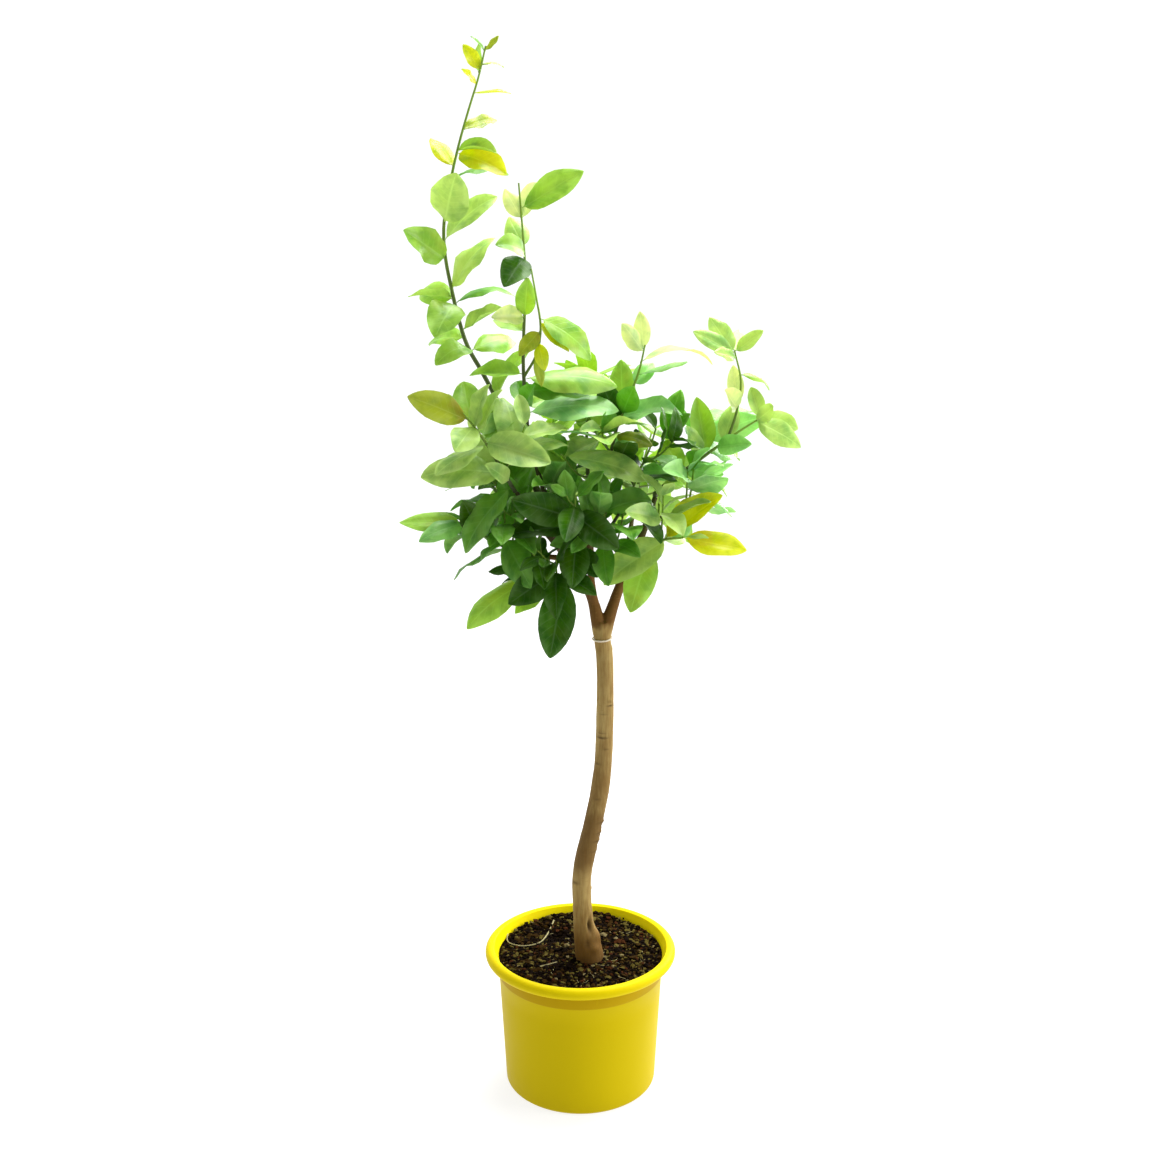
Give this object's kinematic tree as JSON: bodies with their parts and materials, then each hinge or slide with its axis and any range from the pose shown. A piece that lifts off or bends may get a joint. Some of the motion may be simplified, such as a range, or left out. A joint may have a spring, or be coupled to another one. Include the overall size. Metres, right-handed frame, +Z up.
{
  "type": "potted lemon tree",
  "caption": "Young lemon tree in a round yellow nursery pot: a bent bare trunk with a root flare, a low fork, and a one-sided crown with tall leafy shoots.",
  "frame": {"origin": "centre of the pot's flat underside, where the plant stands on the ground", "axes": "+Z up; +X to the right and -Y towards the viewer in the picture"},
  "size_m": [0.4819, 0.3058, 1.3179],
  "materials": {
    "pot_plastic": "satin",
    "soil": "matte",
    "bark": "matte",
    "tie": "matte",
    "foliage": "satin"
  },
  "bodies": {
    "root": {"back_left_spray": "foliage", "back_right_spray": "foliage", "back_spray": "foliage", "bough_centre": "bark", "bough_front": "bark", "bough_inner_front": "bark", "bough_inner_left": "bark", "bough_inner_right": "bark", "bough_left": "bark", "bough_left_back": "bark", "bough_left_front": "bark", "bough_left_low": "bark", "bough_left_mid": "bark", "bough_left_side": "bark", "bough_middle_back": "bark", "bough_right": "bark", "bough_right_back": "bark", "bough_right_low": "bark", "bough_right_mid": "bark", "front_spray": "foliage", "inner_front_spray": "foliage", "inner_left_spray": "foliage", "inner_right_spray": "foliage", "left_shoot": "foliage", "low_front_spray": "foliage", "low_left_spray": "foliage", "low_right_spray": "foliage", "mid_shoot": "foliage", "pot": "pot_plastic", "right_mid_spray": "foliage", "right_shoot": "foliage", "soil": "soil", "tall_shoot": "foliage", "trunk": "bark", "trunk_tie": "tie", "upper_shoot": "foliage"}
  },
  "joints": []
}
